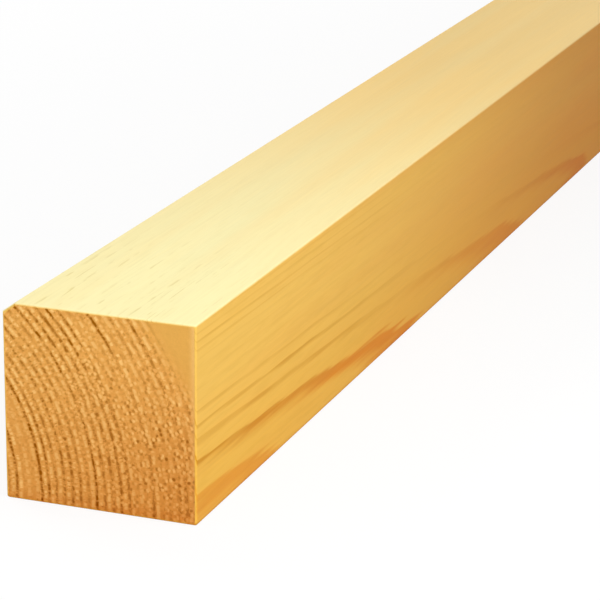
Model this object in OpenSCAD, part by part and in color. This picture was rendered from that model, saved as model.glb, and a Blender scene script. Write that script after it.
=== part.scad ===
// Planed softwood batten: one square-section stick of timber, lying on its underside.
// The length runs along X, the width along Y and the height along Z, in millimetres.
// The origin is the middle of the underside.

/* [Stock] */
// Length of the batten, along the grain
batten_length = 1200; // [300:50:6000]
// Width of the section, between the two planed sides
section_width = 45; // [20:1:150]
// Height of the section, from the underside to the top
section_height = 45; // [20:1:150]

/* [Arrises] */
// Radius that eases the three arrises left nearly square by the planer
arris_radius = 0.5; // [0.2:0.1:4]
// Reach of the bevel across the top, from the +Y side
bevel_reach = 3; // [1:0.1:8]
// Drop of the bevel down the +Y side, from the top
bevel_drop = 2.2; // [1:0.1:8]

/* [Colour] */
// Colour of the planed wood
wood_colour = "#EEBE61"; // color

/* [Hidden] */
$fn = 48;
// How far each cutter stands clear of the faces that it trims
cutter_margin = 1;
left_side = -section_width / 2;
right_side = section_width / 2;
// Each eased arris: its place on the section, and the turn that brings the wood to the +X +Y quarter
eased_arrises = [
    [[left_side, 0], 0],
    [[right_side, 0], 90],
    [[left_side, section_height], -90]
];

// The section before its arrises are planed, drawn flat: the width to the right and the height up.
module sawn_section() {
    translate([left_side, 0])
        square([section_width, section_height]);
}

// What rounding takes off a square corner at the origin, with the wood in the +X +Y quarter.
module arris_waste() {
    difference() {
        translate([-cutter_margin, -cutter_margin])
            square(arris_radius + cutter_margin);
        translate([arris_radius, arris_radius])
            circle(r = arris_radius);
    }
}

// What the plane takes off the arris between the top and the +Y side.
module bevel_waste() {
    slope = bevel_drop / bevel_reach;
    translate([right_side, section_height])
        polygon([
            [-bevel_reach - cutter_margin, cutter_margin * slope],
            [cutter_margin, -bevel_drop - cutter_margin * slope],
            [cutter_margin, cutter_margin * slope]
        ]);
}

module planed_section() {
    difference() {
        sawn_section();
        for (arris = eased_arrises)
            translate(arris[0]) rotate(arris[1]) arris_waste();
        bevel_waste();
    }
}

// The planed section carried along the length, square-sawn at both ends.
module batten() {
    color(wood_colour)
        rotate([90, 0, 90])
            linear_extrude(height = batten_length, center = true)
                planed_section();
}

batten();
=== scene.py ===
"""Planed square batten, dressed and lit for a studio picture.

It is laid out as a Blender add-on and run as a script. One operator makes the batten with its planed faces
and sawn ends, and one sets the stage. Lengths are in metres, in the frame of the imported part: X along the
grain, Z up, and the origin in the middle of the underside.
"""
import math
from collections import namedtuple
from functools import cached_property, partial

import bpy
import numpy as np
from bpy.props import FloatProperty, FloatVectorProperty, IntProperty, PointerProperty
from mathutils import Color, Matrix, Vector


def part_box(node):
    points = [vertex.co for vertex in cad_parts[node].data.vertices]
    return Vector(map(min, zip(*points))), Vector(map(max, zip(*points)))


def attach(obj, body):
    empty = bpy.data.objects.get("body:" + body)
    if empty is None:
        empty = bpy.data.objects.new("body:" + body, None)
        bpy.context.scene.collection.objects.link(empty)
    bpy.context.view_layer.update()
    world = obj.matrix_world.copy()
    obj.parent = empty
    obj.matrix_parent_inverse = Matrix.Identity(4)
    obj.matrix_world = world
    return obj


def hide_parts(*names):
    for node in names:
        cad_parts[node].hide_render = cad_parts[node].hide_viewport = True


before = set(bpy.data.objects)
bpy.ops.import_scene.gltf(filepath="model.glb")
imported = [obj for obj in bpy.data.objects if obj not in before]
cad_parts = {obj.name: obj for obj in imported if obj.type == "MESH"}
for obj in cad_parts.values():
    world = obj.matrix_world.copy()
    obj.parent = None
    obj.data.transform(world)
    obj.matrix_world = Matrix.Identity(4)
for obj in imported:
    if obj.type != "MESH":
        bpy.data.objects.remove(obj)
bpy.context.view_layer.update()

bl_info = {
    "name": "Planed square batten",
    "version": (1, 0, 0),
    "blender": (4, 5, 0),
    "location": "3D View > Sidebar > Batten",
    "description": "Makes a planed softwood batten with its growth rings, and a plain studio around it",
    "category": "Add Mesh",
}

NODE = "batten"
BODY = "root"
BAKE_MAP = "OFBake"
LOW, HIGH = (np.array(corner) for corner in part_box(NODE))
LENGTH, WIDTH, HEIGHT = (HIGH - LOW).tolist()
NEAR_END, FAR_END = -LENGTH / 2, LENGTH / 2
MID_HEIGHT = HEIGHT / 2
MILLIMETRE = 0.001
QUARTER_TURN = math.pi / 2
BRIGHTEST = 255


# Values that a user may change


def shade(*levels):
    """Red, green and blue on a screen, 0 to 255 each, turned into the linear light that Blender mixes."""
    screen = Color([level / BRIGHTEST for level in levels])
    return screen.from_srgb_to_scene_linear()[:]


def amount(name, description, default, **kind):
    """A number that is not below zero."""
    return FloatProperty(name=name, description=description, default=default, min=0, **kind)


# A length in metres, a part of a whole, and the power of a lamp in watts
length = partial(amount, precision=5, unit="LENGTH")
share = partial(amount, max=1, subtype="FACTOR")
power = partial(amount, unit="POWER")


def colour(name, description, default):
    """A colour, in linear light."""
    return FloatVectorProperty(
        name=name, description=description, default=default, min=0, max=1, subtype="COLOR")


class BattenShape(bpy.types.PropertyGroup):
    """The section's edges, and how finely the surface is divided."""

    arris_radius: length("Arris radius", "Radius of the three eased arrises", 0.5 * MILLIMETRE)
    bevel_reach: length("Bevel reach", "Reach of the bevel across the top", 3 * MILLIMETRE)
    bevel_drop: length("Bevel drop", "Drop of the bevel down the side", 2.2 * MILLIMETRE)
    end_ease: length("End ease", "Rounding of the edges of a sawn end", 0.45 * MILLIMETRE)
    ring_relief: length("Ring relief", "How far the early wood sinks on a sawn end", 0.01 * MILLIMETRE)
    fibre_relief: length("Fibre relief", "Depth of the torn fibres on a sawn end", 0.2 * MILLIMETRE)
    divisions: IntProperty(name="Divisions", description="Divisions across each face", default=168, min=8)
    bays: IntProperty(name="Bays", description="Divisions along the length", default=24, min=1)
    ease_steps: IntProperty(name="Ease steps", description="Steps in each small rounding", default=4, min=1)


class GrowthRings(bpy.types.PropertyGroup):
    """Where the tree's pith ran beside the batten, and how wide its rings are."""

    pith_side: length("Pith side", "Distance of the pith from the middle", 72.84 * MILLIMETRE)
    pith_height: length("Pith height", "Height of the pith above the underside", 2.25 * MILLIMETRE)
    wander: length("Pith wander", "How far the pith wanders sideways", 7.6 * MILLIMETRE)
    wander_rate: FloatProperty(
        name="Wander rate", description="Turn of the pith's slow wave for each metre", default=1.51)
    ovalness: FloatProperty(name="Ovalness", description="Flattening of the rings from above", default=1.1)
    bold_radius: length("Bold ring", "Radius of the ring that others are counted from", 53.2 * MILLIMETRE)
    ring_width: length("Ring width", "Width of a ring of the good years", 1.9125 * MILLIMETRE)
    lean_radius: length("Lean from", "Radius at which the lean years begin", 87.88 * MILLIMETRE)
    lean_width: length("Lean ring width", "Width of a ring of the lean years", 0.8775 * MILLIMETRE)


class WoodFinish(bpy.types.PropertyGroup):
    """Colours of the wood, by face and part of the ring, with painted sheen, highlights and shade among them.
    Tints multiply them.
    """

    side_early: colour("Side early wood", "Pale part of the rings on the sides", shade(241, 193, 92))
    side_line: colour("Side lines", "Thin lines of late wood on the sides", shade(211, 147, 34))
    side_flame: colour("Side flames", "Broad flames of late wood near the underside", shade(226, 140, 16))
    # Tint of the painted shade on the sides between the ends, which also carries the warmth of mottle and
    # streaks
    side_shade_and_warmth: colour("Side warmth", "Tint of the sides where they are warmest", (0.89, 0.675, 0.66))
    side_low: colour("Side low tone", "Tint of the sides at the underside", (0.99, 0.92, 0.70))
    # Colours of the top: the wood's colours painted paler, as painted sheen
    top_early_and_sheen: colour("Top early wood", "Pale part of the rings on the top", shade(250, 239, 180))
    top_late_and_sheen: colour("Top late wood", "Dark part of the rings on the top", shade(232, 216, 146))
    # Tint of the painted shade on the top between the ends, which also carries the warmth of mottle and
    # streaks
    top_shade_and_warmth: colour("Top warmth", "Tint of the top where it is warmest", (1.0, 0.78, 0.56))
    tick_tone: colour("Streak tone", "Tint of the short streaks on the planed faces", (0.86, 0.80, 0.60))
    # Painted shade along the lower arrises
    lower_arris_shade: colour("Edge tone", "Tint of the lower arrises", (0.84, 0.70, 0.50))
    # How far from each end the faces are painted paler, as painted light, before the painted shade tints them
    side_painted_light_reach: length("Pale reach", "How far from each end the sides are paler", 0.37)
    top_painted_light_reach: length("Top pale reach", "How far from each end the top is paler", 0.28)
    line_wave: length("Line wave", "Length over which the lines fade and come back", 0.5)
    end_early: colour("End early wood", "Pale part of the rings on a sawn end", shade(234, 168, 83))
    end_late: colour("End late wood", "Dark part of the rings on a sawn end", shade(153, 88, 0))
    # Colour of the painted highlights: flecks of torn fibre, and the rim along the -Y edge
    end_highlight: colour("End fleck", "Torn fibres that catch the light", shade(255, 207, 127))
    end_plain: colour("End plain wood", "Plain upper corner of a sawn end", shade(229, 174, 84))
    # The low tint also gives the painted shade along the lower edge
    end_low: colour("End low tone", "Tint of a sawn end at its underside", (0.78, 0.58, 0.42))
    sheen: share("Sheen", "Reflections on the planed faces", 0.08)
    end_sheen: share("End sheen", "Reflections on the sawn ends", 0.02)


class StudioSetup(bpy.types.PropertyGroup):
    """The camera's place and the strength of the light."""

    camera_place: FloatVectorProperty(
        name="Camera place", description="Where the camera stands",
        default=(-1.0880, -0.2259, 0.2185), subtype="TRANSLATION", unit="LENGTH")
    camera_aim: FloatVectorProperty(
        name="Camera aim", description="Direction that the camera looks in",
        default=(0.89402, 0.33053, -0.30244), subtype="DIRECTION")
    camera_up: FloatVectorProperty(
        name="Camera up", description="Direction that is up in the picture",
        default=(0.28022, 0.11418, 0.95312), subtype="DIRECTION")
    lens: FloatProperty(name="Lens", description="Focal length in millimetres", default=160.16, unit="CAMERA")
    sky: share("Sky", "Even light from all round", 0.38)
    key_power: power("Key power", "Soft light beside the near end", 0.91)
    front_power: power("Front power", "Soft light on the near end", 5.3)
    back_power: power("Back power", "Soft light on the hidden side", 3.4)
    far_power: power("Far power", "Soft light beside the far half", 0.6)
    end_power: power("End power", "Soft light on the far end", 1.9)
    floor_white: share("Floor white", "Share of the floor's look that is plain white", 0.86)
    floor_colour: colour("Floor colour", "Colour of the floor as it throws light back", (0.55, 0.55, 0.55))


# Sums that work on arrays and on shader values alike


class Value:
    """A number that varies over a surface: a socket whose operators add Math nodes to its material."""

    def __init__(self, nodes, socket):
        self.nodes = nodes
        self.socket = socket

    def __add__(self, other):
        return self.nodes.math("ADD", self, other)

    def __radd__(self, other):
        return self.nodes.math("ADD", other, self)

    def __sub__(self, other):
        return self.nodes.math("SUBTRACT", self, other)

    def __rsub__(self, other):
        return self.nodes.math("SUBTRACT", other, self)

    def __mul__(self, other):
        return self.nodes.math("MULTIPLY", self, other)

    def __rmul__(self, other):
        return self.nodes.math("MULTIPLY", other, self)

    def __truediv__(self, other):
        return self.nodes.math("DIVIDE", self, other)

    def __rtruediv__(self, other):
        return self.nodes.math("DIVIDE", other, self)


def work_out(operation, on_array, number, *others):
    """Does one sum: by a Math node on a shader value, and otherwise by numpy."""
    if isinstance(number, Value):
        return number.nodes.math(operation, number, *others)
    return on_array(number, *others)


def sine(angle):
    """Sine of an angle."""
    return work_out("SINE", np.sin, angle)


def root(number):
    """Square root."""
    return work_out("SQRT", np.sqrt, number)


def whole(number):
    """The whole part of a number, rounded down."""
    return work_out("FLOOR", np.floor, number)


def larger(number, other):
    """The larger of two numbers, of which the first may vary."""
    return work_out("MAXIMUM", np.maximum, number, other)


def distance(across, up):
    """Length of the way across and up: the root of the sum of their squares."""
    return root(across * across + up * up)


def smooth(number, start, end):
    """Goes smoothly from 0 at start to 1 at end: t * t * (3 - 2 * t), with t held between 0 and 1."""
    if isinstance(number, Value):
        return number.nodes.value(
            "ShaderNodeMapRange", {"interpolation_type": "SMOOTHSTEP"},
            {"Value": number, "From Min": start, "From Max": end})
    t = np.clip((number - start) / (end - start), 0, 1)
    return t * t * (3 - 2 * t)


def band(number, start, full, fall, end):
    """A soft band: it rises smoothly from start to full, and falls from fall to end."""
    return smooth(number, start, full) * (1 - smooth(number, fall, end))


def at_least(least, amount):
    """An amount from 0 to 1, squeezed so that it goes from the least one to 1."""
    return least + (1 - least) * amount


# Growth rings

# Late wood along a ring's width: where it starts, is full, begins to end and ends
LATE_BAND = (0.58, 0.88, 0.93, 1.0)
# Strength of the line at the end of a ring, by its number outwards from the bold one, up to the next number
LINE_STRENGTHS = (
    (-4, 0.45), (-3, 0.90), (-2, 0.12), (-1, 0.10), (0, 1.00), (1, 0.76), (2, 0.54), (3, 0.68),
    (5, 0.62), (6, 0.44), (7, 0.95), (8, 0.74), (10, 0.90), (11, 0.74), (12, 0.24), (13, 0.32),
    (14, 0.82), (15, 0.20), (16, 0.46), (17, 0.40), (18, 0.78), (19, 0.52), (20, 0.58), (21, 1.00),
    (22, 0.66), (23, 0.75), (24, 0.38), (25, 0.10), (30, 0.32), (31, 0.44), (32, 0.24),
)
# Lines that the ramp of strengths holds after the last number
LINES_BEYOND = 8
# How far before each number the ramp steps
STEP_AHEAD = 0.5


def from_pith(x, y, z, rings):
    """Where a point lies from the pith, sideways and up: the pith runs along X and swings as one slow sine.

    Heights are stretched, because the rings are ovals about the pith."""
    pith = rings.pith_side + rings.wander * sine(x * rings.wander_rate)
    return pith - y, (z - rings.pith_height) * rings.ovalness


def ring_count(radius, rings):
    """Rings passed on the way out from the bold one: evenly wide, and closer from the lean radius on."""
    lean_gain = 1 / rings.lean_width - 1 / rings.ring_width
    good_years = (radius - rings.bold_radius) / rings.ring_width
    return good_years + larger(radius - rings.lean_radius, 0) * lean_gain


def number_and_part(passed):
    """A ring's number and the part of its width that is passed, from the count of rings."""
    number = whole(passed)
    return number, passed - number


def line_strength(nodes, number):
    """How strongly the line at the end of a numbered ring shows, read from the list by a stepped ramp."""
    first = LINE_STRENGTHS[0][0]
    span = LINE_STRENGTHS[-1][0] + LINES_BEYOND - first
    stops = [(max(line - first - STEP_AHEAD, 0) / span, level) for line, level in LINE_STRENGTHS]
    return nodes.value("ShaderNodeValToRGB", {"stops": stops}, {0: (number + 1 - first) / span})


# Surface of the batten

# The higher this is, the fewer of the torn fibres' pits are deep
PIT_SHARPNESS = 2
# How often the pits are spread over their neighbours
PIT_SPREADS = 2
NEAR_SEED, FAR_SEED = 1, 2
# The plain length begins this many times the ease from each end
EASES_CLEAR = 2
# Places on the bake map, from 0 to 1 both ways: a strip for each long face, and above them the ends
LONG_FACES = 4
MAP_MARGIN = 0.008
STRIP_PITCH = 0.155
STRIP_HEIGHT = STRIP_PITCH - MAP_MARGIN
END_BOTTOM = LONG_FACES * STRIP_PITCH + MAP_MARGIN
END_SIZE = 1 - END_BOTTOM - MAP_MARGIN


def section_edges(y, shape):
    """Lowest and highest point of the section at each y.

    Three arrises are quarter circles, and the upper one at +Y is a straight bevel."""
    radius = shape.arris_radius
    half = WIDTH / 2
    into_arrises = (np.clip(side * y - (half - radius), 0, radius) for side in (-1, 1))
    round_left, round_right = (radius - np.sqrt(radius ** 2 - into ** 2) for into in into_arrises)
    bevel = np.clip(y - (half - shape.bevel_reach), 0, None) * shape.bevel_drop / shape.bevel_reach
    return round_left + round_right, HEIGHT - round_left - bevel


def section_grid(shape):
    """The section as a grid of y and z, with columns across the width and rows up the height.

    Columns lie close together round the arrises, and one stands where the bevel starts."""
    half = WIDTH / 2
    radius = shape.arris_radius
    turn = np.linspace(0, QUARTER_TURN, shape.ease_steps + 1)[:-1]
    round_left = -half + radius * (1 - np.cos(turn))
    flat = np.linspace(-half + radius, half - radius, shape.divisions)
    bevel_start = half - shape.bevel_reach
    flat[np.abs(flat - bevel_start).argmin()] = bevel_start
    y = np.concatenate([round_left, flat, -round_left[::-1]])
    lowest, highest = section_edges(y, shape)
    climb = np.linspace(0, 1, shape.divisions)[:, None]
    return np.broadcast_to(y, (shape.divisions, y.size)), lowest + (highest - lowest) * climb


def outline_order(rows, columns):
    """Numbers of a grid's border points: along the lowest row, up the last column, back and down."""
    numbers = np.arange(rows * columns).reshape(rows, columns)
    return np.concatenate([numbers[0, :-1], numbers[:-1, -1], numbers[-1, :0:-1], numbers[:0:-1, 0]])


def grid_quads(rows, columns):
    """Corner numbers of a grid's quads, turning from y towards z."""
    numbers = np.arange(rows * columns).reshape(rows, columns)
    corners = numbers[:-1, :-1], numbers[:-1, 1:], numbers[1:, 1:], numbers[1:, :-1]
    return np.stack([corner.ravel() for corner in corners], axis=1)


def inset(y, z, depth):
    """The section drawn in towards its middle by a small depth on every side."""
    return y * (1 - depth / (WIDTH / 2)), MID_HEIGHT + (z - MID_HEIGHT) * (1 - depth / MID_HEIGHT)


def spread_out(grid):
    """Each point's mean with its neighbours, weighted one, two, one along both ways of a grid."""
    for axis in (0, 1):
        grid = (np.roll(grid, 1, axis) + 2 * grid + np.roll(grid, -1, axis)) / 4
    return grid


def sawn_relief(x, y, z, shape, rings, seed):
    """How far a sawn end lies inside the square cut: early wood sinks, and torn fibres leave small pits.

    Pits are seeded random depths, spread over their neighbours. All relief fades out at the border."""
    passed = ring_count(distance(*from_pith(x, y, z, rings)), rings)
    part = number_and_part(passed)[1]
    sunk = (1 - band(part, *LATE_BAND)) * shape.ring_relief
    pits = np.random.default_rng(seed).random(y.shape) ** PIT_SHARPNESS * shape.fibre_relief
    for _ in range(PIT_SPREADS):
        pits = spread_out(pits)
    to_borders = (np.minimum(np.arange(count), np.arange(count)[::-1]) for count in y.shape)
    return (sunk + pits) * np.clip(np.minimum.outer(*to_borders) / shape.ease_steps, 0, 1)


def sawn_end(x, inwards, y, z, shape, rings, seed):
    """Points of a sawn end: the section's grid at a place along X, sunk inwards by its relief."""
    sunk_x = x + inwards * sawn_relief(x, y, z, shape, rings, seed)
    return np.stack([sunk_x, y, z], axis=-1).reshape(-1, 3)


def stations(shape):
    """Places along X at which the outline is drawn, and how far it is drawn in at each.

    Near each end it is drawn in along a quarter circle, which eases the edge."""
    ease = shape.end_ease
    turn = np.linspace(0, QUARTER_TURN, shape.ease_steps + 1)[1:]
    eased_x = NEAR_END + ease * (1 - np.cos(turn))
    eased_depth = ease * (1 - np.sin(turn))
    long_x = np.linspace(NEAR_END + EASES_CLEAR * ease, FAR_END - EASES_CLEAR * ease, shape.bays + 1)
    x = np.concatenate([eased_x, long_x, -eased_x[::-1]])
    depth = np.concatenate([eased_depth, np.zeros(long_x.size), eased_depth[::-1]])
    return x, depth


def end_patch(spots, number):
    """Map places of an end's corners: a square patch for each end, side by side."""
    left = MAP_MARGIN + number * (END_SIZE + 2 * MAP_MARGIN)
    return spots / max(WIDTH, HEIGHT) * END_SIZE + np.array([left, END_BOTTOM])


def long_face_spots(ring_x, outline_y, outline_z, columns, rows):
    """Map places of the long faces' corners: x runs along a face's strip, and the way round runs up it."""
    step = np.hypot(np.roll(outline_y, -1) - outline_y, np.roll(outline_z, -1) - outline_z)
    face = np.repeat(np.arange(LONG_FACES), [columns - 1, rows - 1, columns - 1, rows - 1])
    travelled = np.concatenate([[0], np.cumsum(step)])
    first = np.searchsorted(face, np.arange(LONG_FACES))
    extent = np.bincount(face, weights=step)[face]
    bottom = MAP_MARGIN + face * STRIP_PITCH
    start = travelled[first][face]
    low, high = (bottom + (way - start) / extent * STRIP_HEIGHT for way in (travelled[:-1], travelled[1:]))
    along = MAP_MARGIN + (ring_x - NEAR_END) / LENGTH * (1 - 2 * MAP_MARGIN)
    before, low_grid = np.meshgrid(along[:-1], low, indexing="ij")
    after, high_grid = np.meshgrid(along[1:], high, indexing="ij")
    corners = [(before, low_grid), (before, high_grid), (after, high_grid), (after, low_grid)]
    return np.stack([np.stack(corner, axis=-1) for corner in corners], axis=2).reshape(-1, 4, 2)


def batten_mesh(shape, rings):
    """The whole skin as one closed mesh: two sawn ends as grids, and the section's outline carried along X.

    Gives its points, its quads, which of those lie on an end, and their corners' places on the bake map."""
    y, z = section_grid(shape)
    rows, columns = y.shape
    end_y, end_z = inset(y, z, shape.end_ease)
    near = sawn_end(NEAR_END, 1, end_y, end_z, shape, rings, NEAR_SEED)
    far = sawn_end(FAR_END, -1, end_y, end_z, shape, rings, FAR_SEED)
    border = outline_order(rows, columns)
    outline_y, outline_z = y.ravel()[border], z.ravel()[border]
    station_x, station_depth = stations(shape)
    ring_y, ring_z = inset(outline_y, outline_z, station_depth[:, None])
    ring_x = np.broadcast_to(station_x[:, None], ring_y.shape)
    sides = np.stack([ring_x, ring_y, ring_z], axis=-1).reshape(-1, 3)
    vertices = np.concatenate([near, far, sides])

    side_rings = np.arange(len(sides)).reshape(ring_y.shape) + len(near) + len(far)
    all_rings = np.concatenate([border[None], side_rings, border[None] + len(near)])
    onward = np.roll(all_rings, -1, axis=1)
    side_quads = np.stack([all_rings[:-1], onward[:-1], onward[1:], all_rings[1:]], axis=-1).reshape(-1, 4)
    end_quads = grid_quads(rows, columns)
    quads = np.concatenate([end_quads[:, ::-1], end_quads + len(near), side_quads])
    is_end = np.arange(len(quads)) < 2 * len(end_quads)

    end_spots = np.stack([end_y.ravel() + WIDTH / 2, end_z.ravel()], axis=1)[end_quads]
    all_x = np.concatenate([[NEAR_END], station_x, [FAR_END]])
    side_spots = long_face_spots(all_x, outline_y, outline_z, columns, rows)
    spots = np.concatenate([end_patch(end_spots[:, ::-1], 0), end_patch(end_spots, 1), side_spots])
    return vertices, quads, is_end, spots


def make_piece(name, vertices, quads, finishes, finish_numbers):
    """A smooth-shaded mesh object at the origin, with a finish for each of its quads."""
    mesh = bpy.data.meshes.new(name)
    mesh.vertices.add(len(vertices))
    mesh.vertices.foreach_set("co", vertices.astype(np.float32).ravel())
    mesh.loops.add(quads.size)
    mesh.loops.foreach_set("vertex_index", quads.astype(np.int32).ravel())
    mesh.polygons.add(len(quads))
    mesh.polygons.foreach_set("loop_start", np.arange(0, quads.size, quads.shape[1], dtype=np.int32))
    for finish in finishes:
        mesh.materials.append(finish)
    mesh.polygons.foreach_set("material_index", finish_numbers.astype(np.int32))
    mesh.update(calc_edges=True)
    mesh.shade_smooth()
    if mesh.validate():
        raise RuntimeError(f"the mesh of {name} has faulty faces")
    piece = bpy.data.objects.new(name, mesh)
    bpy.context.scene.collection.objects.link(piece)
    return piece


# Finishes

# Numbers of the Mix node's colour sockets
MIX_COLOUR_A, MIX_COLOUR_B, MIX_COLOUR_OUT = 6, 7, 2
# A noise's size is that of its lumps along X, Y and Z, and its levels are where patches begin and are full.
# These say how many finer layers it has.
COARSE, MEDIUM, FINE = 1.0, 2.0, 3.0
NOISE_MIDDLE = 0.5
# Waves that both finishes have, and how far they shift the rings
WAVE_SIZE, WAVE_DEPTH = (0.11, 0.012, 0.012), 0.5 * MILLIMETRE
RIPPLE_SIZE = (0.02, 0.002, 0.002)
SIDE_RIPPLE_DEPTH, END_RIPPLE_DEPTH = 0.1 * MILLIMETRE, 0.5 * MILLIMETRE


class FinishNodes:
    """The nodes of one material or of the world, emptied first."""

    def __init__(self, owner):
        owner.use_nodes = True
        self.tree = owner.node_tree
        self.tree.nodes.clear()

    def node(self, kind, settings=None, sockets=None):
        """Adds a node: its settings come first, and then a value or a link for each socket."""
        node = self.tree.nodes.new(kind)
        for name, value in (settings or {}).items():
            if name == "stops":
                self.set_stops(node.color_ramp, value)
            else:
                setattr(node, name, value)
        for key, value in (sockets or {}).items():
            socket = node.inputs[key]
            source = value.socket if isinstance(value, Value) else value
            if isinstance(source, bpy.types.NodeSocket):
                self.tree.links.new(source, socket)
            elif isinstance(source, tuple) and socket.type == "RGBA":
                socket.default_value = (*source, 1)
            else:
                socket.default_value = source
        return node

    @staticmethod
    def set_stops(ramp, stops):
        """Stops of a stepped ramp: a place from 0 to 1 and a grey level each."""
        ramp.interpolation = "CONSTANT"
        while len(ramp.elements) < len(stops):
            ramp.elements.new(1)
        for element, (place, level) in zip(ramp.elements, stops):
            element.position = place
            element.color = (level, level, level, 1)

    def value(self, kind, settings=None, sockets=None):
        """Adds a node and gives its first output as a value."""
        return Value(self, self.node(kind, settings, sockets).outputs[0])

    def math(self, operation, *numbers):
        """Adds a Math node and gives its result."""
        return self.value("ShaderNodeMath", {"operation": operation}, dict(enumerate(numbers)))

    @cached_property
    def place(self):
        """X, Y and Z of the point on the object, in metres."""
        spot = self.node("ShaderNodeTexCoord").outputs["Object"]
        split = self.node("ShaderNodeSeparateXYZ", sockets={0: spot})
        return [Value(self, output) for output in split.outputs]

    def noise(self, size, at=None, detail=MEDIUM, roughness=0.5):
        """Soft noise from 0 to 1, with lumps of a size each way, at the point or at another place."""
        lumps = [number / lump for number, lump in zip(at or self.place, size)]
        vector = self.node("ShaderNodeCombineXYZ", sockets=dict(enumerate(lumps)))
        return self.value("ShaderNodeTexNoise", {"noise_dimensions": "3D"}, {
            "Vector": vector.outputs[0], "Scale": 1.0, "Detail": detail, "Roughness": roughness})

    def sway(self, size, at=None, detail=MEDIUM, roughness=0.5):
        """Soft noise about zero, from -0.5 to 0.5."""
        return self.noise(size, at, detail, roughness) - NOISE_MIDDLE

    def patches(self, size, levels, at=None, detail=COARSE):
        """Soft noise sharpened into patches: 0 below the first of two levels, and 1 above the second."""
        return smooth(self.noise(size, at, detail), *levels)

    def dots(self, across, along, size):
        """Scattered dots: how far off the nearest one is, in dots, and its own number from 0 to 1."""
        vector = self.node("ShaderNodeCombineXYZ", sockets={0: across / size[0], 1: along / size[1]})
        cells = self.node("ShaderNodeTexVoronoi", {"voronoi_dimensions": "2D"}, {
            "Vector": vector.outputs[0], "Scale": 1.0})
        own = self.node("ShaderNodeSeparateColor", sockets={0: cells.outputs["Color"]})
        return Value(self, cells.outputs["Distance"]), Value(self, own.outputs[0])

    def blend(self, amount, first, second, how="MIX"):
        """A colour between two, or one that is multiplied by another where how says so."""
        mixed = self.node("ShaderNodeMix", {"data_type": "RGBA", "blend_type": how}, {
            0: amount, MIX_COLOUR_A: first, MIX_COLOUR_B: second})
        return mixed.outputs[MIX_COLOUR_OUT]

    def mix_shaders(self, amount, first, second):
        """A shader node between two others."""
        return self.node("ShaderNodeMixShader", sockets={
            0: amount, 1: first.outputs[0], 2: second.outputs[0]})

    def wood_surface(self, tone, roughness, sheen, height, bump):
        """Ends a wood's nodes: a dull surface in a tone, with a bump from a height in metres."""
        relief = self.node("ShaderNodeBump", sockets={"Strength": bump, "Distance": 1.0, "Height": height})
        shader = self.node("ShaderNodeBsdfPrincipled", sockets={
            "Base Color": tone, "Roughness": roughness, "Specular IOR Level": sheen,
            "Normal": relief.outputs[0]})
        self.node("ShaderNodeOutputMaterial", sockets={"Surface": shader.outputs[0]})


def grain_waves(nodes, ripple_depth):
    """How far the rings stray from even ovals: long lazy waves and short ripples."""
    return nodes.sway(WAVE_SIZE) * WAVE_DEPTH + nodes.sway(RIPPLE_SIZE) * ripple_depth


# Planed faces

# The rings lean in below a height, which draws flames out into tails, and strands ruffle them
LEAN_IN, LEAN_HEIGHT = 0.27 * MILLIMETRE, 14 * MILLIMETRE
STRAND_SIZE, STRAND_DEPTH = (0.045, 0.0014, 0.0014), 0.38 * MILLIMETRE
# How far below the top its colour begins, and where it is full
TOP_FADE_FROM, TOP_FADE_TO = 0.5 * MILLIMETRE, 0.02 * MILLIMETRE
# Heights between which broad flames of late wood become thin lines, and a flame along a ring's width
FLAME_FULL, FLAME_END = 5 * MILLIMETRE, 15 * MILLIMETRE
FLAME_BAND = (0.42, 0.8, 0.88, 1.0)
# Share of the side lines that fades, and the slow wave's levels
LINE_FADE, FADE_LEVELS = 0.92, (0.04, 0.76)
# Share of the fading that flames are kept from, and the heights between which this ends
FLAME_KEPT, KEPT_FULL, KEPT_END = 0.8, 5 * MILLIMETRE, 16 * MILLIMETRE
# Short breaks in the lines, and what a line loses there
BREAK_SIZE, BREAK_LEVELS, BROKEN = (0.03, 0.003, 0.003), (0.36, 0.6), 0.4
# Dashes on the top, and how far from an end they are full and gone
DASH_SIZE, DASH_LEVELS = (0.006, 0.0013, 0.0013), (0.47, 0.66)
DASHES_FULL, DASHES_GONE = 0.02, 0.075
# Fibres, with the roughness of their layers, mottle and streaks, and how far they shift warmth and light
FIBRE_SIZE, FIBRE_LAYERS, FIBRE_LIGHT = (0.03, 0.0005, 0.0005), 0.6, 0.10
MOTTLE_SIZE, MOTTLE_WARMTH, MOTTLE_LIGHT = (0.09, 0.011, 0.011), 0.4, 0.10
STREAK_SIZE, STREAK_WARMTH = (0.26, 0.008, 0.008), 0.5
# Heights between which the low tone of the sides fades out
SIDE_LOW_FULL, SIDE_LOW_END = 4 * MILLIMETRE, 36 * MILLIMETRE
# Short streaks: their strength, how far from an end they are full and few, the share left between the ends,
# and the share that the top lacks
TICK_SIZE, TICK_LEVELS, TICK_STRENGTH = (0.012, 0.0011, 0.0011), (0.42, 0.7), 0.24
TICKS_FULL, TICKS_FEW, TICKS_LEAST, TICKS_OFF_TOP = 0.05, 0.22, 0.25, 0.5
# Heights between which the lower arrises are painted darker, as painted shade
LOWER_ARRIS_SHADE_BAND = (0.0, 0.12 * MILLIMETRE, 0.35 * MILLIMETRE, 1.0 * MILLIMETRE)
# Roughness, what fibres add to it and late wood takes from it, and the relief of both
PLANED_ROUGHNESS, FIBRE_ROUGHNESS, LATE_POLISH = 0.59, 0.14, 0.06
LATE_HEIGHT, FIBRE_HEIGHT, PLANED_BUMP = 0.02 * MILLIMETRE, 0.03 * MILLIMETRE, 0.6


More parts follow.
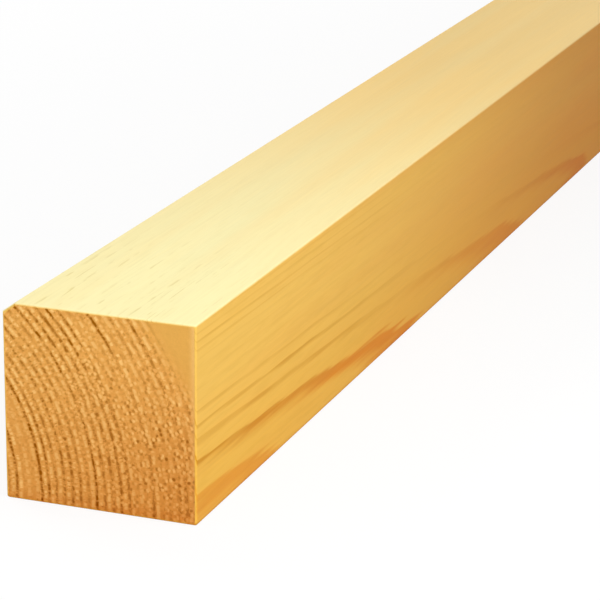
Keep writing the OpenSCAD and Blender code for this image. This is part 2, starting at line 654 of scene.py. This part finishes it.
def top_share(nodes, shape):
    """1 on the top and its bevel and 0 on the other faces, with a short fade at the arrises."""
    _, y, z = nodes.place
    over_bevel = larger(y - (WIDTH / 2 - shape.bevel_reach), 0) * (shape.bevel_drop / shape.bevel_reach)
    return smooth(z + over_bevel, HEIGHT - TOP_FADE_FROM, HEIGHT - TOP_FADE_TO)


def planed_rings(nodes, rings):
    """Number of the ring at a point of the planed faces, and the part of its width that is passed."""
    x, y, z = nodes.place
    below = larger(1 - z / LEAN_HEIGHT, 0)
    radius = distance(*from_pith(x, y, z, rings)) - LEAN_IN * below * below
    strands = nodes.sway(STRAND_SIZE, detail=COARSE) * STRAND_DEPTH
    return number_and_part(ring_count(radius + grain_waves(nodes, SIDE_RIPPLE_DEPTH) + strands, rings))


def shown_lines(nodes, wood, from_end, on_top, flame):
    """How much of the late wood shows, 0 to 1.

    On the sides the lines break and fade and come back in a slow wave, while the flames mostly stay. On the
    top only short dashes near the ends show."""
    x, _, z = nodes.place
    turn = (x - NEAR_END) * (math.tau / wood.line_wave)
    wave = (1 - sine(turn + QUARTER_TURN)) / 2
    kept = FLAME_KEPT * (1 - smooth(z, KEPT_FULL, KEPT_END))
    fade = LINE_FADE * smooth(wave, *FADE_LEVELS) * (1 - kept)
    breaks = BROKEN * (1 - nodes.patches(BREAK_SIZE, BREAK_LEVELS)) * (1 - flame)
    dashes = nodes.patches(DASH_SIZE, DASH_LEVELS) * (1 - smooth(from_end, DASHES_FULL, DASHES_GONE))
    return (1 - fade) * (1 - breaks) * (1 - on_top) + dashes * on_top


def planed_late_wood(nodes, rings, wood, from_end, on_top, flame):
    """How dark the late wood is, 0 to 1: thin lines, which are broad flames near the underside."""
    number, part = planed_rings(nodes, rings)
    line = band(part, *LATE_BAND)
    broad = band(part, *FLAME_BAND)
    late = line + (broad - line) * flame * (1 - on_top)
    return late * line_strength(nodes, number) * shown_lines(nodes, wood, from_end, on_top, flame)


def planed_tone(nodes, wood, late, fibre, from_end, on_top, flame):
    """Colour of early and late wood, multiplied by tints, from the painted shade and warmth between the ends
    to the light.
    """
    z = nodes.place[2]
    # On the top the colours are painted paler, as painted sheen
    early_colour = nodes.blend(on_top, wood.side_early[:], wood.top_early_and_sheen[:])
    side_late = nodes.blend(flame, wood.side_line[:], wood.side_flame[:])
    late_colour = nodes.blend(on_top, side_late, wood.top_late_and_sheen[:])
    tone = nodes.blend(late, early_colour, late_colour)
    mottle = nodes.sway(MOTTLE_SIZE)
    streaks = nodes.sway(STREAK_SIZE, detail=COARSE)
    # Paler near each end and darker between them: painted light and shade along the length, with the warmth
    # of mottle and streaks
    side_painted_shade = smooth(from_end, 0, wood.side_painted_light_reach) * (1 - on_top)
    top_painted_shade = smooth(from_end, 0, wood.top_painted_light_reach) * on_top
    shade_and_warmth = side_painted_shade + top_painted_shade + mottle * MOTTLE_WARMTH + streaks * STREAK_WARMTH
    low = (1 - smooth(z, SIDE_LOW_FULL, SIDE_LOW_END)) * (1 - on_top)
    ticked = at_least(TICKS_LEAST, 1 - smooth(from_end, TICKS_FULL, TICKS_FEW)) * (1 - TICKS_OFF_TOP * on_top)
    ticks = nodes.patches(TICK_SIZE, TICK_LEVELS, detail=MEDIUM) * ticked * TICK_STRENGTH
    tints = (
        (shade_and_warmth, nodes.blend(on_top, wood.side_shade_and_warmth[:], wood.top_shade_and_warmth[:])),
        (low, wood.side_low[:]),
        (ticks, wood.tick_tone[:]),
        # Painted shade on the lower arrises
        (band(z, *LOWER_ARRIS_SHADE_BAND), wood.lower_arris_shade[:]),
        (1.0, 1 + fibre * FIBRE_LIGHT + mottle * MOTTLE_LIGHT),
    )
    for strength, tint in tints:
        tone = nodes.blend(strength, tone, tint, "MULTIPLY")
    return tone


def planed_finish(shape, rings, wood):
    """The planed faces: golden sides and a top painted paler as sheen, with lines and flames of late wood
    along the grain.

    The faces are painted paler at both ends and darker and warmer between them, as painted light and shade
    along the length."""
    material = bpy.data.materials.new("planed_faces")
    nodes = FinishNodes(material)
    x, _, z = nodes.place
    from_end = FAR_END - nodes.math("ABSOLUTE", x)
    on_top = top_share(nodes, shape)
    flame = 1 - smooth(z, FLAME_FULL, FLAME_END)
    late = planed_late_wood(nodes, rings, wood, from_end, on_top, flame)
    fibre = nodes.sway(FIBRE_SIZE, detail=FINE, roughness=FIBRE_LAYERS)
    tone = planed_tone(nodes, wood, late, fibre, from_end, on_top, flame)
    roughness = PLANED_ROUGHNESS + fibre * FIBRE_ROUGHNESS - late * LATE_POLISH
    height = late * LATE_HEIGHT + fibre * FIBRE_HEIGHT
    nodes.wood_surface(tone, roughness, wood.sheen, height, PLANED_BUMP)
    return material


# Sawn ends

# A ring's dark line and the pale band after it: where each starts, is full, begins to end and ends
DARK_BAND = (0.45, 0.72, 0.83, 1.0)
PALE_BAND = (0.0, 0.14, 0.28, 0.56)
# Torn patches: the middle's shares of the way across and down, the reach, and how torn it is
TORN_PATCHES = ((0.92, 0.62, 0.56, 1.0), (0.52, 0.42, 0.36, 0.9))
TORN_SOFT, TORN_RAGGED = 0.4, 0.5
# The plain upper corner: its slope, and where it begins and is full
PLAIN_SLOPE, PLAIN_FROM, PLAIN_TO = 0.7, 1.34, 1.52
# Large patches, and the radius at which the way round the pith is measured
PATCH_SIZE = (0.05, 0.009, 0.009)
MEAN_RADIUS = 72 * MILLIMETRE
# How far fibres stray, and the least share of that in sound wood
STRAY_SIZE, STRAY_DEPTH, STRAY_LEAST = (0.01, 0.0008, 0.0008), 0.8 * MILLIMETRE, 0.4
# Rings of uneven width, with lumps outwards, and the shares across where they end
UNEVEN_SIZE, UNEVEN_DEPTH = (0.005, 1.0, 1.0), 0.9 * MILLIMETRE
UNEVEN_FULL, UNEVEN_END = 0.65, 0.95
# The outermost rings: how far from the pith they begin to fade and have faded, and how much
OUTER_FROM, OUTER_TO, OUTER_LOST = 91 * MILLIMETRE, 93 * MILLIMETRE, 0.85
# Lines that waver and bead, with lumps from ring to ring, along it and along X
WAVER_SIZE, WAVER_LEVELS = (0.6, 7 * MILLIMETRE, 1.0), (0.3, 0.62)
BEAD_SIZE, BEAD_LEVELS, PALE_BEAD_LEVELS = (0.7, 0.85 * MILLIMETRE, 1.0), (0.38, 0.58), (0.42, 0.56)
# Pale bands take the beads of rings this far on, to differ from the dark lines
PALE_BEADS_ON = 60
# How steady a line is, from weak ones to strong ones
STEADY_LEAST, STEADY_MORE = 0.2, 0.6
# What lines and pale bands lose in torn wood, and what both lose in the plain corner
DARK_LOST, PALE_LOST, PLAIN_LOST = 0.45, 0.3, 0.8
# Gaps between beads: deeper in a band of the height and in torn wood, and shallower on strong lines
GAP_LEAST, GAP_MORE, GAP_WEAK, GAP_STRONG = 0.7, 0.16, 1.2, 0.5
GAP_BAND = (0.05, 0.3, 0.5, 0.8)
# Least share of a pale band between its beads, and after a weak line
PALE_LEAST, PALE_AFTER_WEAK = 0.05, 0.45
# Specks: the dots' size, their core and rim as shares of it, where their shadow falls, and how far they stray
DOT_SIZE, DOT_CORE, DOT_RIM = (1.15 * MILLIMETRE, 1.3 * MILLIMETRE), 0.12, 0.5
DOT_SHADOW, DOT_STRAY = 0.6 * MILLIMETRE, 0.6
# Dots with a high number are flecks, painted highlights of torn fibre, and those with a low one are pits of
# painted shade
FLECK_LEVELS, PIT_LEVELS = (0.42, 0.7), (0.64, 0.9)
SPECKS_LEAST, SHADOW_DEPTH, PIT_DEPTH = 0.3, 0.75, 0.68
# Grit: its strength where dark and where pale, and its least share
GRIT_SIZE, GRIT_LEVELS = (0.01, 0.0007, 0.0007), (0.54, 0.8)
GRIT_DARK, GRIT_PALE, GRIT_LEAST = 0.62, 0.64, 0.25
# Strength of the dark marks and of the plain corner's colour
DARKEN, PLAIN_TINT = 1.23, 0.7
# The pale rim at the -Y side, a painted highlight: where it begins and is full, its strength at the top and
# its loss downwards
EDGE_HIGHLIGHT_FROM, EDGE_HIGHLIGHT_TO, EDGE_HIGHLIGHT_TOP, EDGE_HIGHLIGHT_FALL = 0.955, 0.995, 0.7, 0.5
# The low tone: its strength at the +Y side, its gain across, and its gain along the lower edge, which is
# painted shade
LOW_NEAR, LOW_ACROSS, LOW_EDGE_SHADE, LOW_EDGE_SHADE_FROM = 0.39, 0.44, 0.38, 0.92
# Finest noise, and how far it and the large patches shift the light
FINE_SIZE, FINE_LIGHT, PATCH_LIGHT = (0.01, 0.00034, 0.00034), 0.12, 0.08
# Roughness, what the lines take from it, and the relief of marks and grit
SAWN_ROUGHNESS, LINE_POLISH = 0.82, 0.1
MARK_HEIGHT, GRIT_HEIGHT, SAWN_BUMP = 0.04 * MILLIMETRE, 0.03 * MILLIMETRE, 0.4

# A point of a sawn end: shares of the way across from +Y and down, distance from the pith and way round it, a
# small stray, large patches, and how torn and how plain the wood is
EndSpot = namedtuple("EndSpot", "across down radius arc stray patches torn plain")


def torn_wood(across, down, ragged):
    """How torn a sawn end is, 0 to 1: the strongest of a few round patches with soft, ragged edges."""
    torn = 0.0
    for middle_across, middle_down, reach, how_torn in TORN_PATCHES:
        apart = distance(across - middle_across, down - middle_down)
        torn = larger(smooth(reach - apart + ragged, 0, TORN_SOFT) * how_torn, torn)
    return torn


def end_spot(nodes, rings):
    """Where a point lies on a sawn end, and what the wood is like there."""
    x, y, z = nodes.place
    across = 0.5 - y / WIDTH
    down = 1 - z / HEIGHT
    aside, up = from_pith(x, y, z, rings)
    patches = nodes.sway(PATCH_SIZE)
    return EndSpot(
        across, down, radius=distance(aside, up), arc=nodes.math("ARCTAN2", up, aside) * MEAN_RADIUS,
        stray=nodes.sway(STRAY_SIZE, detail=COARSE) * STRAY_DEPTH, patches=patches,
        torn=torn_wood(across, down, patches * TORN_RAGGED),
        plain=smooth(across - PLAIN_SLOPE * down + PLAIN_SLOPE, PLAIN_FROM, PLAIN_TO))


def sawn_rings(nodes, rings, spot):
    """Number of the ring at a point of a sawn end, and the part of its width that is passed.

    All rings count as wide as in the good years, because the lean ones do not show on a sawn end."""
    uneven = nodes.sway(UNEVEN_SIZE, (spot.radius, 0.0, 0.0), COARSE) * UNEVEN_DEPTH
    uneven = uneven * (1 - smooth(spot.across, UNEVEN_FULL, UNEVEN_END))
    astray = spot.stray * at_least(STRAY_LEAST, spot.torn)
    radius = spot.radius + uneven + grain_waves(nodes, END_RIPPLE_DEPTH) + astray
    return number_and_part((radius - rings.bold_radius) / rings.ring_width)


def sawn_lines(nodes, rings, spot):
    """Dark lines of the rings and pale bands after them, 0 to 1 each, and the strength of the ring's line.

    Both are strings of beads with gaps between them, and the lines waver where they are weak."""
    x = nodes.place[0]
    number, part = sawn_rings(nodes, rings, spot)
    outer = 1 - OUTER_LOST * smooth(spot.radius, OUTER_FROM, OUTER_TO)
    strength = line_strength(nodes, number) * outer
    ringed = 1 - PLAIN_LOST * spot.plain
    bead_arc = spot.arc + spot.stray
    waver = nodes.patches(WAVER_SIZE, WAVER_LEVELS, (number, bead_arc, x))
    beads = nodes.patches(BEAD_SIZE, BEAD_LEVELS, (number, bead_arc, x))
    pale_beads = nodes.patches(BEAD_SIZE, PALE_BEAD_LEVELS, (number + PALE_BEADS_ON, bead_arc, x))
    steady = at_least(STEADY_LEAST + STEADY_MORE * strength, waver)
    line = band(part, *DARK_BAND) * strength * steady * ringed * (1 - DARK_LOST * spot.torn)
    gappy = GAP_LEAST + GAP_MORE * larger(band(spot.down, *GAP_BAND), spot.torn)
    gaps = gappy * (GAP_WEAK - GAP_STRONG * strength)
    dark = line * (1 - gaps * (1 - beads))
    beaded = at_least(PALE_LEAST, pale_beads) * at_least(PALE_AFTER_WEAK, line_strength(nodes, number - 1))
    pale = band(part, *PALE_BAND) * ringed * (1 - PALE_LOST * spot.torn) * beaded * outer
    return dark, pale, strength


def sawn_specks(nodes, spot):
    """Painted highlights on torn fibre, as flecks, and pits of painted shade, 0 to 1 each: dots, with a
    painted shadow beside each fleck.
    """
    shown = at_least(SPECKS_LEAST, spot.torn) * (1 - spot.plain)
    outwards = spot.radius + spot.stray * DOT_STRAY
    round_pith = spot.arc - spot.stray * DOT_STRAY
    apart, own = nodes.dots(outwards, round_pith, DOT_SIZE)
    apart_beside, own_beside = nodes.dots(outwards + DOT_SHADOW, round_pith, DOT_SIZE)
    fleck = (1 - smooth(apart, DOT_CORE, DOT_RIM)) * smooth(own, *FLECK_LEVELS) * shown
    shadow = SHADOW_DEPTH * smooth(own_beside, *FLECK_LEVELS) + smooth(1 - own_beside, *PIT_LEVELS)
    pit = (1 - smooth(apart_beside, DOT_CORE, DOT_RIM)) * shadow * shown
    return fleck, pit


def sawn_tone(nodes, wood, spot, marked, fine):
    """The marked wood with its plain corner, its pale rim of painted highlight, and the tone that darkens it
    downwards, with painted shade along the lower edge.
    """
    cornered = nodes.blend(spot.plain * PLAIN_TINT, marked, wood.end_plain[:])
    # The pale rim is a painted highlight along the -Y edge
    rim = smooth(spot.across, EDGE_HIGHLIGHT_FROM, EDGE_HIGHLIGHT_TO) * (EDGE_HIGHLIGHT_TOP - EDGE_HIGHLIGHT_FALL * spot.down)
    highlighted = nodes.blend(rim, cornered, wood.end_highlight[:])
    low = smooth(spot.down, 0, 1) * (LOW_NEAR + LOW_ACROSS * spot.across)
    # Painted shade along the lower edge
    low = low + smooth(spot.down, LOW_EDGE_SHADE_FROM, 1) * LOW_EDGE_SHADE
    lowered = nodes.blend(low, highlighted, wood.end_low[:], "MULTIPLY")
    light = 1 + fine * FINE_LIGHT + spot.patches * PATCH_LIGHT
    return nodes.blend(1.0, lowered, light, "MULTIPLY")


def sawn_finish(rings, wood):
    """The sawn ends: dull, with arcs of dark and pale wood that waver and bead, and specks of painted
    highlight and shade on torn fibre.

    Dark and pale marks that meet cancel out. Torn patches have more specks and weaker arcs, and the upper
    corner at the -Y side is plain."""
    material = bpy.data.materials.new("sawn_ends")
    nodes = FinishNodes(material)
    spot = end_spot(nodes, rings)
    line, pale, strength = sawn_lines(nodes, rings, spot)
    fleck, pit = sawn_specks(nodes, spot)
    fine = nodes.sway(FINE_SIZE, detail=COARSE)
    grit = nodes.noise(GRIT_SIZE, detail=COARSE)
    gritty = at_least(GRIT_LEAST, strength) * (1 - spot.plain)
    grit_dark = smooth(grit, *GRIT_LEVELS) * gritty * GRIT_DARK
    grit_pale = smooth(1 - grit, *GRIT_LEVELS) * gritty * GRIT_PALE
    # Pale wood with painted highlights, and dark wood with painted shade in the pits
    pale_and_highlight = larger(larger(fleck, pale), grit_pale)
    dark_and_shade = larger(larger(line, pit * PIT_DEPTH), grit_dark)
    darkened = nodes.blend(larger(dark_and_shade - pale_and_highlight, 0) * DARKEN, wood.end_early[:], wood.end_late[:])
    marked = nodes.blend(larger(pale_and_highlight - dark_and_shade, 0), darkened, wood.end_highlight[:])
    tone = sawn_tone(nodes, wood, spot, marked, fine)
    height = (fleck - pit - line) * MARK_HEIGHT + (fine + grit) * GRIT_HEIGHT
    nodes.wood_surface(tone, SAWN_ROUGHNESS - line * LINE_POLISH, wood.end_sheen, height, SAWN_BUMP)
    return material


# Stage

WHITE = (1.0, 1.0, 1.0)
FLOOR_REACH = 40.0
# How far from the batten its shadow on the floor begins to fade, and where it is gone
SHADOW_NEAR, SHADOW_FAR = 0.03, 0.45
SENSOR_WIDTH = 36
CLIP_START = 0.01
# Soft square lights: where each stands, what it faces, its size, and the angle within which it lights
Lamp = namedtuple("Lamp", "name stands faces size spread", defaults=(math.pi,))
LAMPS = (
    Lamp("key", (NEAR_END - 0.03, -0.29, 0.275), (NEAR_END + 0.07, 0.0, 0.03), 0.28),
    Lamp("front", (NEAR_END - 0.9, -0.25, 0.45), (NEAR_END, 0.0, 0.02), 0.5),
    Lamp("back", (-0.1, 0.75, 0.45), (-0.1, 0.0, 0.02), 0.6),
    Lamp("far", (FAR_END - 0.2, -0.6, 0.48), (FAR_END - 0.2, 0.0, 0.02), 0.45, 1.3),
    Lamp("end", (FAR_END + 0.5, 0.1, 0.35), (FAR_END, 0.0, 0.02), 0.3),
)


def seen_directly(nodes):
    """1 where the camera sees a surface, also mirrored or through glass, and 0 where it only lights."""
    path = nodes.node("ShaderNodeLightPath").outputs
    names = ("Is Camera Ray", "Is Glossy Ray", "Is Transmission Ray")
    camera, glossy, through = (Value(nodes, path[name]) for name in names)
    return larger(larger(camera, glossy), through)


def floor_finish(studio):
    """A pale floor that shows near white and keeps the batten's soft shadow, and is plain white away from it.

    Where it only throws light back it is grey, so that it does not flatten the batten's light."""
    material = bpy.data.materials.new("floor")
    nodes = FinishNodes(material)
    ways = zip(nodes.place, (LENGTH, WIDTH))
    beyond = (larger(nodes.math("ABSOLUTE", way) - side / 2, 0) for way, side in ways)
    away = smooth(distance(*beyond), SHADOW_NEAR, SHADOW_FAR)
    grey = nodes.node("ShaderNodeBsdfDiffuse", sockets={"Color": studio.floor_colour[:]})
    matt = nodes.node("ShaderNodeBsdfDiffuse", sockets={"Color": WHITE})
    white = nodes.node("ShaderNodeEmission", sockets={"Color": WHITE, "Strength": 1.0})
    shown = nodes.mix_shaders(at_least(studio.floor_white, away), matt, white)
    mixed = nodes.mix_shaders(seen_directly(nodes), grey, shown)
    nodes.node("ShaderNodeOutputMaterial", sockets={"Surface": mixed.outputs[0]})
    return material


def set_sky(studio):
    """Even light from all round, which shows as plain white behind the object."""
    world = bpy.data.worlds.new("studio")
    bpy.context.scene.world = world
    nodes = FinishNodes(world)
    even = nodes.node("ShaderNodeBackground", sockets={"Color": WHITE, "Strength": studio.sky})
    white = nodes.node("ShaderNodeBackground", sockets={"Color": WHITE, "Strength": 1.0})
    mixed = nodes.mix_shaders(seen_directly(nodes), even, white)
    nodes.node("ShaderNodeOutputWorld", sockets={"Surface": mixed.outputs[0]})


def add_soft_light(lamp, watts):
    """A square soft light that stands in its place and faces what it lights, unseen by the camera."""
    light = bpy.data.lights.new(lamp.name, "AREA")
    light.shape = "SQUARE"
    light.size = lamp.size
    light.energy = watts
    light.spread = lamp.spread
    stand = bpy.data.objects.new(lamp.name, light)
    stand.location = lamp.stands
    stand.rotation_mode = "QUATERNION"
    stand.rotation_quaternion = (Vector(lamp.faces) - Vector(lamp.stands)).to_track_quat("-Z", "Y")
    stand.visible_camera = False
    bpy.context.scene.collection.objects.link(stand)


def add_camera(studio):
    """The camera of the photograph, fitted to the batten's edges, for a square picture."""
    data = bpy.data.cameras.new("camera")
    data.sensor_width = SENSOR_WIDTH
    data.lens = studio.lens
    data.clip_start = CLIP_START
    back = -Vector(studio.camera_aim).normalized()
    right = Vector(studio.camera_up).cross(back).normalized()
    up = back.cross(right)
    camera = bpy.data.objects.new("camera", data)
    turn = Matrix((right, up, back)).transposed().to_4x4()
    camera.matrix_world = Matrix.Translation(studio.camera_place) @ turn
    bpy.context.scene.collection.objects.link(camera)
    bpy.context.scene.camera = camera


# Operators and panel


class BATTEN_OT_plane_timber(bpy.types.Operator):
    """Make the batten with its planed faces and sawn ends"""

    bl_idname = "batten.plane_timber"
    bl_label = "Plane timber"

    def execute(self, context):
        scene = context.scene
        rings = scene.growth_rings
        shape = scene.batten_shape
        finishes = [planed_finish(shape, rings, scene.wood_finish), sawn_finish(rings, scene.wood_finish)]
        vertices, quads, is_end, spots = batten_mesh(shape, rings)
        piece = make_piece("planed_batten", vertices, quads, finishes, is_end)
        bake_map = piece.data.uv_layers.new(name=BAKE_MAP)
        bake_map.uv.foreach_set("vector", spots.astype(np.float32).ravel())
        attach(piece, BODY)
        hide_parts(NODE)
        return {"FINISHED"}


class BATTEN_OT_set_stage(bpy.types.Operator):
    """Set the floor, the light and the camera"""

    bl_idname = "batten.set_stage"
    bl_label = "Set stage"

    def execute(self, context):
        studio = context.scene.studio_setup
        corners = FLOOR_REACH * np.array([[-1, -1, 0], [1, -1, 0], [1, 1, 0], [-1, 1, 0]])
        floor = make_piece("floor", corners, np.array([[0, 1, 2, 3]]), [floor_finish(studio)], np.zeros(1))
        set_sky(studio)
        for lamp in LAMPS:
            add_soft_light(lamp, getattr(studio, f"{lamp.name}_power"))
        add_camera(studio)
        context.scene.view_settings.view_transform = "Standard"
        return {"FINISHED"}


class BATTEN_PT_sidebar(bpy.types.Panel):
    """The batten's makers and values"""

    bl_label = "Planed batten"
    bl_space_type = "VIEW_3D"
    bl_region_type = "UI"
    bl_category = "Batten"

    def draw(self, context):
        for maker in MAKERS:
            self.layout.operator(maker.bl_idname)
        for name, group in GROUPS.items():
            box = self.layout.box()
            for value in group.__annotations__:
                box.prop(getattr(context.scene, name), value)


GROUPS = {
    "batten_shape": BattenShape,
    "growth_rings": GrowthRings,
    "wood_finish": WoodFinish,
    "studio_setup": StudioSetup,
}
MAKERS = (BATTEN_OT_plane_timber, BATTEN_OT_set_stage)
CLASSES = (*GROUPS.values(), *MAKERS, BATTEN_PT_sidebar)


def register():
    """Registers the classes, and gives each scene its groups of values."""
    for kind in CLASSES:
        bpy.utils.register_class(kind)
    for name, group in GROUPS.items():
        setattr(bpy.types.Scene, name, PointerProperty(type=group))


def unregister():
    """Takes away what register added."""
    for name in GROUPS:
        delattr(bpy.types.Scene, name)
    for kind in reversed(CLASSES):
        bpy.utils.unregister_class(kind)


def main():
    """Registers the classes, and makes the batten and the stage."""
    register()
    bpy.ops.batten.plane_timber()
    bpy.ops.batten.set_stage()


if __name__ == "__main__":
    main()
